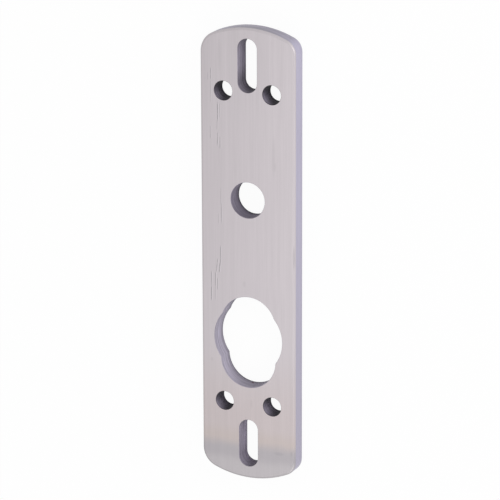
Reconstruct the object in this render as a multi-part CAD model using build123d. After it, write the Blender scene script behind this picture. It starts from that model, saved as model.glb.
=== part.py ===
from build123d import *
import math
import os

# Spacer plate for a door lock, sawn from flat aluminium bar, with both ends arched and every opening
# milled straight through. It packs out the gap between a door and the lock's handle plate.
# Sizes are millimetres. X runs across the plate, Y along it towards the handle end, and Z out of the
# door. The origin is on the spindle hole's axis, in the back face.

# Plate
plate_width = 51.0
plate_length = 232.7
plate_thickness = 10.0
end_arc_radius = 50.0
left_corner_radius = 10.5
right_corner_radius = 7.5
edge_rounding = 1.4
spindle_to_upper_end = 86.8

# Round hole for the handle's spindle
spindle_hole_diameter = 18.3

# Opening for the lock cylinder: a round collar hole with an upper and a lower lobe of one diameter
spindle_to_cylinder = 72.0
collar_diameter = 36.9
lobe_diameter = 29.6
upper_lobe_rise = 7.2
lower_lobe_drop = 10.6

# Two rows of round holes for the screws that go right through the door
screw_hole_diameter = 9.8
screw_hole_pitch = 26.0
upper_screws_above_spindle = 54.5
lower_screws_below_spindle = 106.0

# An upright slot near each end
slot_width = 10.2
upper_slot_length = 27.0
lower_slot_length = 24.8
slot_centre_from_end = 18.85

# Bevel round both rims of every opening
rim_bevel = 0.15

# Places along the plate that follow from the sizes above
upper_end_y = spindle_to_upper_end
lower_end_y = upper_end_y - plate_length
cylinder_y = -spindle_to_cylinder
upper_slot_y = upper_end_y - slot_centre_from_end
lower_slot_y = lower_end_y + slot_centre_from_end


def plate_outline():
    """The plate from the front: straight long sides, an arc across each end and four rounded corners."""
    half_width = plate_width / 2
    arc_rise = end_arc_radius - math.sqrt(end_arc_radius**2 - half_width**2)
    upper_left = (-half_width, upper_end_y - arc_rise)
    upper_right = (half_width, upper_end_y - arc_rise)
    lower_left = (-half_width, lower_end_y + arc_rise)
    lower_right = (half_width, lower_end_y + arc_rise)
    sides = [
        Line(lower_left, upper_left),
        ThreePointArc(upper_left, (0, upper_end_y), upper_right),
        Line(upper_right, lower_right),
        ThreePointArc(lower_right, (0, lower_end_y), lower_left),
    ]
    outline = make_face(sides)
    right_corners = [corner for corner in outline.vertices() if corner.X > 0]
    outline = fillet(right_corners, right_corner_radius)
    left_corners = [corner for corner in outline.vertices() if corner.X < 0]
    return fillet(left_corners, left_corner_radius)


def spindle_hole():
    return Circle(spindle_hole_diameter / 2)


def cylinder_opening():
    """Three overlapping circles: the collar hole in the middle and a lobe above and below it."""
    # The collar circle starts at its top, inside the upper lobe, so that no seam is left in the rim.
    collar = Rot(0, 0, 90) * Circle(collar_diameter / 2)
    lobe = Circle(lobe_diameter / 2)
    return Pos(0, cylinder_y) * (collar + Pos(0, upper_lobe_rise) * lobe + Pos(0, -lower_lobe_drop) * lobe)


def screw_holes():
    """Two holes side by side above the spindle hole, and two below the cylinder opening."""
    rows = (upper_screws_above_spindle, -lower_screws_below_spindle)
    columns = (-screw_hole_pitch / 2, screw_hole_pitch / 2)
    return Sketch() + [Pos(x, y) * Circle(screw_hole_diameter / 2) for y in rows for x in columns]


def end_slots():
    """One upright slot near each end, the upper one longer."""
    upper = Pos(0, upper_slot_y) * SlotOverall(upper_slot_length, slot_width, rotation=90)
    lower = Pos(0, lower_slot_y) * SlotOverall(lower_slot_length, slot_width, rotation=90)
    return upper + lower


def outer_faces(solid):
    """The back face and the front face."""
    flat = solid.faces().filter_by(Axis.Z).sort_by(Axis.Z)
    return [flat[0], flat[-1]]


def round_outline(solid):
    """Round off the edge that runs along the outline of each face."""
    edges = [edge for face in outer_faces(solid) for edge in face.outer_wire().edges()]
    return solid.fillet(edge_rounding, edges)


def bevel_rims(solid):
    """Take the burr off both rims of every opening."""
    edges = [edge for face in outer_faces(solid) for wire in face.inner_wires() for edge in wire.edges()]
    return solid.chamfer(rim_bevel, None, edges)


def spacer_plate():
    flat_shape = plate_outline() - spindle_hole() - cylinder_opening() - screw_holes() - end_slots()
    blank = extrude(flat_shape, plate_thickness).solid()
    plate = bevel_rims(round_outline(blank))
    plate.label = "spacer_plate"
    return plate


os.makedirs("parts", exist_ok=True)
export_step(spacer_plate(), "parts/spacer_plate.step")
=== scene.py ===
import math
import bpy
from mathutils import Matrix, Vector


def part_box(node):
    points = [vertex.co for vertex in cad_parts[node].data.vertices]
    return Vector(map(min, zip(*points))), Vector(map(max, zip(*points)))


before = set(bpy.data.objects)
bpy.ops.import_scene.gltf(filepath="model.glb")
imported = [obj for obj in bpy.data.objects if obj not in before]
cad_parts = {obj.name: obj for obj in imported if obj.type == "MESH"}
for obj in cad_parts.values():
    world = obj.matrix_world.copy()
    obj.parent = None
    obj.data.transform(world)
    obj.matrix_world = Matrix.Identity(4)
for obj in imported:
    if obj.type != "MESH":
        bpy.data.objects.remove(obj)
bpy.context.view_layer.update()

# Sizes are metres. The plate lies on its back face, with X across it, Y along it towards the end
# nearest the spindle hole, and Z out of its front face.
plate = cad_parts["spacer_plate"]
plate_low, plate_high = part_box("spacer_plate")

# Camera
camera_azimuth = math.radians(24.146)
camera_elevation = math.radians(16.129)
camera_roll = math.radians(-0.1958)
camera_distance = 1.53277
camera_aim = Vector((-0.003319, -0.028499, 0.0))
camera_nearest = 0.01
camera_farthest = 20.0
sensor_width = 0.036
focal_length = 0.220838
millimetres_per_metre = 1000

# Light
world_strength = 0.82
key_direction = Vector((0.30, -0.75, 0.58))
key_distance = 3.0
key_size = 1.5
key_power = 18.0
corner_lamp_direction = Vector((0.79, 0.40, 0.46))
corner_lamp_distance = 1.0
corner_lamp_size = 0.35
corner_lamp_power = 2.0

# Floor and backdrop
floor_size = 8.0
floor_gap = 0.00005
floor_white = 0.95
floor_albedo = 0.85


def srgb(red, green, blue):
    """A colour as it is seen on a screen, 0 to 255, turned into shares of light."""
    def linear(value):
        share = value / 255
        return share / 12.92 if share <= 0.04045 else ((share + 0.055) / 1.055) ** 2.4
    return (linear(red), linear(green), linear(blue), 1.0)


# Colours of the metal
face_color = srgb(202, 195, 199)
# Painted reflection: the lower end of the front face darker and warmer, in bands
lower_reflection_color = srgb(198, 188, 189)
warm_reflection_color = srgb(195, 184, 181)
reflection_band_color = srgb(179, 174, 178)
tip_reflection_color = srgb(189, 184, 187)
# Painted shade: the long sides and the arched ends darker and bluer than the faces
side_shade_color = srgb(184, 179, 199)
lower_side_shade_color = srgb(173, 168, 185)
end_shade_color = srgb(150, 145, 158)
scratch_color = srgb(128, 124, 128)
# Painted highlight beside the scratches
glint_color = srgb(222, 217, 222)
speck_color = srgb(95, 70, 78)

# Walls of each kind of opening, with painted light and shade by the way they face: the colour of the lightest
# wall, the way it faces in degrees from +X, how sharply the others fall off from it, and the tone of the
# darkest
slot_wall_shade = (srgb(165, 158, 173), 30, 2.0, 0.45)
screw_wall_shade = (srgb(149, 142, 158), 35, 4.0, 0.16)
spindle_wall_shade = (srgb(152, 145, 161), 12, 4.0, 0.76)
cylinder_wall_shade = (srgb(184, 178, 193), 20, 2.0, 0.55)

# Lines between the openings, each in the solid metal: along the plate, or to each side of its middle line
cylinder_middle = -0.0736
cylinder_reach = 0.0265
spindle_reach = 0.012
slot_reach = 0.0066
lower_holes_from = -0.099

# Lines between the openings and the outline: from the middle line, and from each end of the plate
openings_reach = 0.0187
slot_to_end = 0.0046

# Where one surface turns into the next, by how much of its normal lies along X or Z: the share at which
# the next one starts, and the share at which it is all there
long_side_by_x = (0.1, 0.9)
straight_wall_by_x = (0.6, 0.98)
rounded_edge_by_z = (0.999, 0.97)
bevel_by_z = (0.9, 0.75)
outer_wall_by_z = (0.38, 0.05)
front_by_z = (0.3, 0.5)

# Painted shade over the faces and the outline: the tone at one place, the tone at another, and those
# two places along one axis. A tone of 1 leaves the colour as it is.
left_side_shade_by_y = (0.925, 0.875, -0.090, 0.075)
upper_end_shade_by_y = (1.0, 0.975, 0.030, 0.078)
rounded_edge_shade_by_y = (0.81, 0.93, -0.139, -0.127)
outer_wall_shade_by_z = (0.92, 1.0, 0.0, 0.0040)
left_edge_x = -0.0235
right_edge_x = 0.0235
side_shade_from_y = -0.13
side_shade_full_y = 0.08

# Painted light and shade on the opening walls, from left to right, from end to end and from the back forwards
opening_shade_by_x = (0.935, 1.07, -0.013, 0.013)
opening_shade_by_y = (1.16, 0.86, plate_low.y, plate_high.y)
lower_slot_shade_by_y = (0.76, 0.93, -0.134, -0.118)
upper_slot_shade_by_y = (0.80, 1.17, 0.060, 0.067)
straight_wall_light_by_z = (1.45, 1.0, 0.0010, 0.0055)
lower_screw_shade = 0.93
back_shade_by_y = (0.86, 0.68, 0.020, 0.055)
lower_back_light = 1.28
back_shade_height = 0.0085

# Painted shade: a darker line along each opening's back rim, and the heights at which it starts and stops
# fading
slot_rim_shade = 0.62
screw_rim_shade = 0.40
cylinder_rim_shade_by_y = (0.50, 0.85, -0.085, -0.065)
rim_shade_heights = (0.0006, 0.0022)

# Finish of the metal, with the least and the greatest roughness of its faces and its walls
metal_share = 0.6
face_roughness = (0.39, 0.51)
wall_roughness = (0.42, 0.58)
face_gloss = 0.5
opening_gloss = 0.02

# Patterns in the metal: the size of their lumps along X, Y and Z, how much finer detail is in them, and
# how strong it is. Drawing leaves lines along the bar, and cutting leaves marks one above another.
fine_lines = ((0.0005, 0.045, 0.0005), 4.0, 0.7)
broad_lines = ((0.0032, 0.16, 0.0032), 2.0, 0.55)
clouds = ((0.016, 0.03, 0.016), 3.0, 0.55)
tool_marks = ((0.02, 0.02, 0.0009), 3.0, 0.6)
# Waver of the bands of painted reflection near the lower end
reflection_waver = ((0.012, 0.02, 0.02), 3.0, 0.55)
scratch_breaks = ((0.004, 0.0015, 0.004), 2.0, 0.55)

# The darkest and the lightest tone that each pattern gives, for tool marks with the pattern's values there
fine_line_tones = (0.89, 1.11)
broad_line_tones = (0.95, 1.05)
face_cloud_tones = (0.98, 1.02)
wall_cloud_tones = (0.96, 1.04)
tool_mark_tones = (0.68, 1.32, 0.3, 0.7)

# Depth of the relief
line_depth = 0.000002
tool_mark_depth = 0.000004
scratch_depth = 0.000006

# Bands of painted reflection across the plate near its lower end: the colour, the height above that end
# where it starts, the height where it is full, and its strength there
reflection_bands = [
    (lower_reflection_color, 0.075, 0.030, 1.0),
    (warm_reflection_color, 0.029, 0.021, 0.8),
    (reflection_band_color, 0.0212, 0.0148, 1.0),
    (tip_reflection_color, 0.0130, 0.0072, 1.0),
]
waver_reach = 0.002

# Fine scratches on the front face: upper end, lower end, strength
scratches = [
    ((-0.0197, 0.0660), (-0.0198, 0.0590), 0.42),
    ((-0.0198, 0.0605), (-0.0199, 0.0470), 0.25),
    ((-0.0212, 0.0631), (-0.0212, 0.0588), 0.25),
    ((-0.0161, 0.0492), (-0.0161, 0.0380), 0.60),
    ((-0.0150, 0.0490), (-0.0151, 0.0400), 0.25),
    ((-0.0163, 0.0400), (-0.0165, 0.0340), 0.28),
    ((-0.0160, 0.0338), (-0.0164, 0.0258), 0.50),
    ((-0.0148, 0.0315), (-0.0149, 0.0245), 0.40),
    ((-0.0201, 0.0366), (-0.0201, 0.0290), 0.32),
    ((-0.0145, 0.0060), (-0.0147, -0.0046), 0.22),
    ((-0.0143, -0.0020), (-0.0143, -0.0139), 0.38),
    ((-0.0159, -0.0080), (-0.0159, -0.0140), 0.20),
    ((-0.0149, -0.0240), (-0.0150, -0.0362), 0.48),
    ((-0.0153, -0.0335), (-0.0157, -0.0391), 0.70),
    ((-0.0165, -0.0312), (-0.0173, -0.0392), 0.50),
    ((-0.0178, -0.0382), (-0.0179, -0.0472), 0.50),
    ((-0.0179, -0.0450), (-0.0180, -0.0541), 0.25),
    ((-0.0166, -0.0412), (-0.0167, -0.0485), 0.38),
    ((-0.0200, -0.0380), (-0.0200, -0.0474), 0.48),
    ((-0.0200, -0.0458), (-0.0201, -0.0545), 0.60),
]
scratch_width = 0.00032
scratch_core = 0.4 * scratch_width
scratch_taper = 0.2
# Painted highlight beside each scratch: how far to its right it lies, and its strength
glint_shift = 0.00052
glint_strength = 0.6

# How far a scratch is broken up: the pattern's values where it is faintest and strongest, and its strength
break_values = (0.32, 0.55)
break_strengths = (0.65, 1.1)

# Soft dull marks on the front face and its edge: middle, half width, half height, strength
dull_marks = [
    ((0.0139, 0.0235), 0.0012, 0.0130, 0.10),
    ((0.0143, 0.0185), 0.0013, 0.0035, 0.12),
    ((-0.0151, 0.0730), 0.0014, 0.0100, 0.07),
    ((-0.0020, -0.0435), 0.0012, 0.0020, 0.10),
    ((-0.0200, -0.0850), 0.0011, 0.0014, 0.10),
    ((0.0017, -0.1060), 0.0008, 0.0030, 0.10),
    ((0.0248, -0.0268), 0.0007, 0.0075, 0.22),
    ((0.0168, -0.1305), 0.0034, 0.0013, 0.14),
    ((0.0236, -0.1296), 0.0008, 0.0018, 0.14),
]

# Dark speck on the wall of the cylinder opening's lower lobe
speck_place = Vector((-0.0009, -0.0974, 0.0024))
speck_radius = 0.0009
speck_core = 0.5 * speck_radius


class Graph:
    """Short calls that add nodes to a material or a world."""

    def __init__(self, owner):
        owner.use_nodes = True
        self.tree = owner.node_tree
        self.tree.nodes.clear()

    def set_input(self, socket, value):
        """Give a socket a plain value or another node's output."""
        if isinstance(value, bpy.types.NodeSocket):
            self.tree.links.new(value, socket)
        else:
            socket.default_value = value

    def node(self, kind, inputs=None, **settings):
        """Add a node with its settings and its inputs."""
        node = self.tree.nodes.new(kind)
        for name, value in settings.items():
            setattr(node, name, value)
        for name, value in (inputs or {}).items():
            self.set_input(node.inputs[name], value)
        return node

    def math(self, operation, *values):
        return self.node("ShaderNodeMath", dict(enumerate(values)), operation=operation).outputs[0]

    def product(self, *values):
        result = values[0]
        for value in values[1:]:
            result = self.math("MULTIPLY", result, value)
        return result

    def highest(self, values):
        result = values[0]
        for value in values[1:]:
            result = self.math("MAXIMUM", result, value)
        return result

    def inverse(self, value):
        return self.math("SUBTRACT", 1.0, value)

    def fade(self, value, start, end):
        """0 at start and 1 at end, smooth between them, and level outside them."""
        inputs = {"Value": value, "From Min": start, "From Max": end}
        return self.node("ShaderNodeMapRange", inputs, interpolation_type="SMOOTHSTEP").outputs[0]

    def spread(self, value, low, high, start=0.0, end=1.0):
        """A value that runs from start to end, brought to run from low to high and level outside them."""
        inputs = {"Value": value, "From Min": start, "From Max": end, "To Min": low, "To Max": high}
        return self.node("ShaderNodeMapRange", inputs).outputs[0]

    def bump_between(self, value, low, high, soft):
        """1 between low and high, and 0 beyond them by soft."""
        return self.product(self.fade(value, low - soft, low), self.fade(value, high + soft, high))

    def noise(self, vector, lumps, detail, roughness):
        """Noise from 0 to 1 whose lumps have these sizes along X, Y and Z."""
        scale = [1 / size for size in lumps]
        scaled = self.node("ShaderNodeVectorMath", {0: vector, 1: scale}, operation="MULTIPLY").outputs[0]
        inputs = {"Vector": scaled, "Scale": 1.0, "Detail": detail, "Roughness": roughness}
        return self.node("ShaderNodeTexNoise", inputs).outputs[0]

    def between(self, amount, first, second):
        """A number that is first where amount is 0 and second where it is 1."""
        return self.node("ShaderNodeMix", {0: amount, 2: first, 3: second}).outputs[0]

    def over(self, amount, under, upper):
        """Lay the colour upper over the colour under."""
        mixer = self.node("ShaderNodeMix", data_type="RGBA")
        for place, value in {0: amount, 6: under, 7: upper}.items():
            self.set_input(mixer.inputs[place], value)
        return mixer.outputs[2]

    def shade(self, color, tone):
        """The colour made lighter or darker by tone, where 1 leaves it as it is."""
        return self.node("ShaderNodeVectorMath", {0: color, "Scale": tone}, operation="SCALE").outputs[0]


class Surface:
    """Where a point of the plate lies, which of its surfaces it is on, and what making it left there.

    side, opening, wall and front are 1 on the surface they name and 0 on the others. x_lean and z_lean
    are how much of the normal lies along X and Z, whichever way round.
    """

    def __init__(self, graph):
        coordinates = graph.node("ShaderNodeTexCoord")
        self.place = coordinates.outputs["Object"]
        self.normal = coordinates.outputs["Normal"]
        self.x, self.y, self.z = graph.node("ShaderNodeSeparateXYZ", {0: self.place}).outputs
        normal_along = graph.node("ShaderNodeSeparateXYZ", {0: self.normal}).outputs
        self.from_middle_line = graph.math("ABSOLUTE", self.x)
        self.x_lean = graph.math("ABSOLUTE", normal_along["X"])
        self.z_lean = graph.math("ABSOLUTE", normal_along["Z"])
        self.find_surface(graph, normal_along["Z"])
        self.add_patterns(graph)

    def find_surface(self, graph, normal_z):
        """Tell the faces, the outline's walls and the openings' walls apart."""
        # Every opening lies inside the cylinder opening's width and between the slots' far ends.
        outer = graph.highest([
            graph.math("GREATER_THAN", self.from_middle_line, openings_reach),
            graph.math("GREATER_THAN", self.y, plate_high.y - slot_to_end),
            graph.math("LESS_THAN", self.y, plate_low.y + slot_to_end),
        ])
        # The bevels round the openings belong to the walls. The rounded outer edge turns slowly into them.
        self.side = graph.product(outer, graph.fade(self.x_lean, *long_side_by_x))
        self.opening = graph.product(graph.fade(self.z_lean, *bevel_by_z), graph.inverse(outer))
        self.wall = graph.highest([graph.fade(self.z_lean, *outer_wall_by_z), self.opening])
        self.front = graph.fade(normal_z, *front_by_z)

    def add_patterns(self, graph):
        """The lines along the bar, the marks round the walls, and the tones that both give."""
        self.lines = graph.noise(self.place, *fine_lines)
        self.marks = graph.noise(self.place, *tool_marks)
        broad = graph.noise(self.place, *broad_lines)
        cloud = graph.noise(self.place, *clouds)
        self.drawn_tone = graph.product(
            graph.spread(self.lines, *fine_line_tones),
            graph.spread(broad, *broad_line_tones),
            graph.spread(cloud, *face_cloud_tones),
        )
        self.cut_tone = graph.product(
            graph.spread(self.marks, *tool_mark_tones),
            graph.spread(cloud, *wall_cloud_tones),
        )


def thin_line(graph, aside):
    """1 where aside is near 0, and 0 from a scratch's width away."""
    return graph.fade(graph.math("ABSOLUTE", aside), scratch_width, scratch_core)


def scratch_masks(graph, point, upper_end, lower_end, strength):
    """A thin straight line between two points, fading out at both, and the painted highlight along its right
    side.
    """
    slope = (upper_end[0] - lower_end[0]) / (upper_end[1] - lower_end[1])
    along = graph.math("SUBTRACT", point.y, lower_end[1])
    line_x = graph.math("MULTIPLY_ADD", along, slope, lower_end[0])
    aside = graph.math("SUBTRACT", point.x, line_x)
    taper = scratch_taper * (upper_end[1] - lower_end[1])
    lengthwise = graph.bump_between(point.y, lower_end[1] + taper, upper_end[1] - taper, taper)
    lengthwise = graph.product(lengthwise, strength)
    dark = graph.product(thin_line(graph, aside), lengthwise)
    glint = graph.product(thin_line(graph, graph.math("SUBTRACT", aside, glint_shift)), lengthwise)
    return dark, glint


def dull_mask(graph, point, middle, half_width, half_height, strength):
    """A soft oval on the front face."""
    across = graph.math("DIVIDE", graph.math("SUBTRACT", point.x, middle[0]), half_width)
    lengthwise = graph.math("DIVIDE", graph.math("SUBTRACT", point.y, middle[1]), half_height)
    squares = graph.math("ADD", graph.product(across, across), graph.product(lengthwise, lengthwise))
    return graph.product(graph.fade(squares, 1.0, 0.0), strength)


def face_tint(graph, point):
    """The colour of the flat faces and the rounded edge, before the marks of use, with painted reflection and
    shade.
    """
    waver = graph.spread(graph.noise(point.place, *reflection_waver), -waver_reach, waver_reach)
    height = graph.math("ADD", graph.math("SUBTRACT", point.y, plate_low.y), waver)
    tint = face_color
    for color, start, full, strength in reflection_bands:
        tint = graph.over(graph.product(graph.fade(height, start, full), strength), tint, color)
    left_tone = graph.spread(point.y, *left_side_shade_by_y)
    edge_tone = graph.spread(point.y, *rounded_edge_shade_by_y)
    return graph.shade(tint, graph.product(
        point.drawn_tone,
        graph.spread(point.x, left_tone, 1.0, left_edge_x, right_edge_x),
        graph.spread(point.y, *upper_end_shade_by_y),
        graph.between(graph.fade(point.z_lean, *rounded_edge_by_z), 1.0, edge_tone),
    ))


def scratched(graph, point, tint):
    """The front face's colour with its dull marks and scratches, and where the scratches are."""
    breaks = graph.fade(graph.noise(point.place, *scratch_breaks), *break_values)
    strength = graph.product(graph.spread(breaks, *break_strengths), point.front)
    masks = [scratch_masks(graph, point, *scratch) for scratch in scratches]
    scratch = graph.product(graph.highest([dark for dark, glint in masks]), strength)
    glint = graph.product(graph.highest([glint for dark, glint in masks]), strength)
    dull = graph.highest([dull_mask(graph, point, *mark) for mark in dull_marks])
    tint = graph.over(graph.product(dull, point.front), tint, scratch_color)
    tint = graph.over(graph.product(glint, glint_strength), tint, glint_color)
    return graph.over(scratch, tint, scratch_color), scratch


def shade_by_facing(graph, point, walls):
    """The colour of an opening's walls, with painted light and shade: lightest where they face one way or the
    opposite way.
    """
    color, bright_angle, sharpness, darkest_tone = walls
    bright = Vector((math.cos(math.radians(bright_angle)), math.sin(math.radians(bright_angle)), 0.0))
    facing = graph.node("ShaderNodeVectorMath", {0: point.normal, 1: bright}, operation="DOT_PRODUCT")
    facing = graph.math("POWER", graph.math("ABSOLUTE", facing.outputs["Value"]), sharpness)
    return graph.shade(color[:3], graph.spread(facing, darkest_tone, 1.0))


def slot_tint(graph, point, in_upper):
    """The colour of the slots' walls, with painted shade along the slots. The straight ones get painted light
    towards the back.
    """
    height_tone = graph.between(
        in_upper,
        graph.spread(point.y, *lower_slot_shade_by_y),
        graph.spread(point.y, *upper_slot_shade_by_y),
    )
    straight = graph.fade(point.x_lean, *straight_wall_by_x)
    straight_tone = graph.between(straight, 1.0, graph.spread(point.z, *straight_wall_light_by_z))
    return graph.shade(shade_by_facing(graph, point, slot_wall_shade), graph.product(height_tone, straight_tone))


def screw_hole_tint(graph, point, in_upper):
    """The colour of the screw holes' walls, with painted shade on the lower ones."""
    return graph.shade(shade_by_facing(graph, point, screw_wall_shade), graph.between(in_upper, lower_screw_shade, 1.0))


def opening_tint(graph, point):
    """The colour of the walls in every opening, with painted light and shade.

    Above the lower holes they get darker towards the back, most at the upper end, and below that place
    they get lighter. A darker line of painted shade runs along each back rim.
    """
    from_cylinder = graph.math("ABSOLUTE", graph.math("SUBTRACT", point.y, cylinder_middle))
    in_cylinder = graph.math("LESS_THAN", from_cylinder, cylinder_reach)
    in_spindle = graph.math("LESS_THAN", graph.math("ABSOLUTE", point.y), spindle_reach)
    in_screws = graph.math("GREATER_THAN", point.from_middle_line, slot_reach)
    in_upper = graph.math("GREATER_THAN", point.y, 0.0)
    in_lower_holes = graph.math("LESS_THAN", point.y, lower_holes_from)

    tint = graph.over(in_screws, slot_tint(graph, point, in_upper), screw_hole_tint(graph, point, in_upper))
    tint = graph.over(in_spindle, tint, shade_by_facing(graph, point, spindle_wall_shade))
    tint = graph.over(in_cylinder, tint, shade_by_facing(graph, point, cylinder_wall_shade))

    back_tone = graph.between(in_lower_holes, graph.spread(point.y, *back_shade_by_y), lower_back_light)
    line_tone = graph.between(in_screws, slot_rim_shade, screw_rim_shade)
    line_tone = graph.between(in_cylinder, line_tone, graph.spread(point.y, *cylinder_rim_shade_by_y))
    return graph.shade(tint, graph.product(
        graph.spread(point.x, *opening_shade_by_x),
        graph.spread(point.y, *opening_shade_by_y),
        graph.spread(point.z, back_tone, 1.0, 0.0, back_shade_height),
        graph.spread(point.z, line_tone, 1.0, *rim_shade_heights),
    ))


def outer_wall_tint(graph, point):
    """The colour of the long sides and the arched ends, with painted shade: darker than the faces, most at
    the ends, and darker towards the lower end and the back.
    """
    side_tint = graph.over(
        graph.fade(point.y, side_shade_from_y, side_shade_full_y),
        lower_side_shade_color,
        side_shade_color,
    )
    tone = graph.product(
        graph.between(point.side, point.cut_tone, point.drawn_tone),
        graph.spread(point.z, *outer_wall_shade_by_z),
    )
    return graph.shade(graph.over(point.side, end_shade_color, side_tint), tone)


def wall_tint(graph, point):
    """The colour of all walls, with the dark speck on one of them."""
    cut_tint = graph.shade(opening_tint(graph, point), point.cut_tone)
    tint = graph.over(point.opening, outer_wall_tint(graph, point), cut_tint)
    to_speck = graph.node("ShaderNodeVectorMath", {0: point.place, 1: speck_place}, operation="DISTANCE")
    speck = graph.fade(to_speck.outputs["Value"], speck_radius, speck_core)
    return graph.over(speck, tint, speck_color)


def relief_normal(graph, point, scratch):
    """The normal bent by the lines on the faces, the marks on the walls and the scratches."""
    line_relief = graph.product(point.lines, line_depth)
    mark_relief = graph.product(point.marks, tool_mark_depth)
    relief = graph.between(point.wall, line_relief, mark_relief)
    relief = graph.math("SUBTRACT", relief, graph.product(scratch, scratch_depth))
    return graph.node("ShaderNodeBump", {"Height": relief, "Distance": 1.0, "Strength": 1.0}).outputs[0]


def plate_material():
    """Satin aluminium, drawn along the bar on its faces and sides, and cut round its ends and openings."""
    material = bpy.data.materials.new("satin_aluminium")
    graph = Graph(material)
    point = Surface(graph)
    front_tint, scratch = scratched(graph, point, face_tint(graph, point))
    roughness = graph.between(
        point.wall,
        graph.spread(point.lines, *face_roughness),
        graph.spread(point.marks, *wall_roughness),
    )
    shader = graph.node("ShaderNodeBsdfPrincipled", {
        "Base Color": graph.over(point.wall, front_tint, wall_tint(graph, point)),
        "Metallic": graph.product(graph.inverse(point.opening), metal_share),
        "Roughness": roughness,
        "Specular IOR Level": graph.spread(point.opening, face_gloss, opening_gloss),
        "Normal": relief_normal(graph, point, scratch),
    })
    graph.node("ShaderNodeOutputMaterial", {"Surface": shader.outputs[0]})
    return material


def backdrop_share(graph):
    """1 for the rays that show the background: those of the camera, of mirrors and of glass."""
    path = graph.node("ShaderNodeLightPath").outputs
    shown = graph.math("ADD", path["Is Camera Ray"], path["Is Glossy Ray"])
    return graph.math("MINIMUM", graph.math("ADD", shown, path["Is Transmission Ray"]), 1.0)


def floor_material():
    """A pale floor that looks white and keeps a faint shadow."""
    material = bpy.data.materials.new("pale_floor")
    graph = Graph(material)
    share = graph.product(backdrop_share(graph), floor_white)
    albedo = (floor_albedo, floor_albedo, floor_albedo, 1.0)
    pale = graph.node("ShaderNodeBsdfDiffuse", {"Color": albedo})
    white = graph.node("ShaderNodeEmission", {"Strength": 1.0})
    mixer = graph.node("ShaderNodeMixShader", {0: share, 1: pale.outputs[0], 2: white.outputs[0]})
    graph.node("ShaderNodeOutputMaterial", {"Surface": mixer.outputs[0]})
    return material


def make_floor():
    half = floor_size / 2
    corners = [(-half, -half), (half, -half), (half, half), (-half, half)]
    mesh = bpy.data.meshes.new("floor")
    mesh.from_pydata([(x, y, -floor_gap) for x, y in corners], [], [(0, 1, 2, 3)])
    mesh.materials.append(floor_material())
    floor = bpy.data.objects.new("floor", mesh)
    bpy.context.scene.collection.objects.link(floor)


def make_world():
    """White to the rays that show the background, and a soft light to all others."""
    world = bpy.data.worlds.new("studio")
    graph = Graph(world)
    strength = graph.spread(backdrop_share(graph), world_strength, 1.0)
    white = (1.0, 1.0, 1.0, 1.0)
    background = graph.node("ShaderNodeBackground", {"Color": white, "Strength": strength})
    graph.node("ShaderNodeOutputWorld", {"Surface": background.outputs[0]})
    bpy.context.scene.world = world


def aimed_matrix(place, target, roll=0.0):
    """The matrix of a camera or lamp at place that looks at target, with +Y up in its picture."""
    back = (place - target).normalized()
    right = Vector((0.0, 1.0, 0.0)).cross(back).normalized()
    up = back.cross(right)
    axes = Matrix((right, up, back)).transposed() @ Matrix.Rotation(roll, 3, "Z")
    return Matrix.Translation(place) @ axes.to_4x4()


def make_camera():
    back = Vector((
        math.sin(camera_azimuth) * math.cos(camera_elevation),
        math.sin(camera_elevation),
        math.cos(camera_azimuth) * math.cos(camera_elevation),
    ))
    data = bpy.data.cameras.new("camera")
    data.sensor_width = sensor_width * millimetres_per_metre
    data.lens = focal_length * millimetres_per_metre
    data.clip_start = camera_nearest
    data.clip_end = camera_farthest
    camera = bpy.data.objects.new("camera", data)
    camera.matrix_world = aimed_matrix(camera_aim + camera_distance * back, camera_aim, camera_roll)
    bpy.context.scene.collection.objects.link(camera)
    bpy.context.scene.camera = camera


def make_lamp(name, direction, distance, size, power):
    """A round soft lamp that faces the middle of the plate."""
    data = bpy.data.lights.new(name, "AREA")
    data.shape = "DISK"
    data.size = size
    data.energy = power
    lamp = bpy.data.objects.new(name, data)
    middle = (plate_low + plate_high) / 2
    lamp.matrix_world = aimed_matrix(middle + distance * direction.normalized(), middle)
    bpy.context.scene.collection.objects.link(lamp)


plate.data.materials.clear()
plate.data.materials.append(plate_material())
make_floor()
make_world()
make_lamp("key", key_direction, key_distance, key_size, key_power)
make_lamp("corner_lamp", corner_lamp_direction, corner_lamp_distance, corner_lamp_size, corner_lamp_power)
make_camera()
bpy.context.scene.view_settings.view_transform = "Standard"
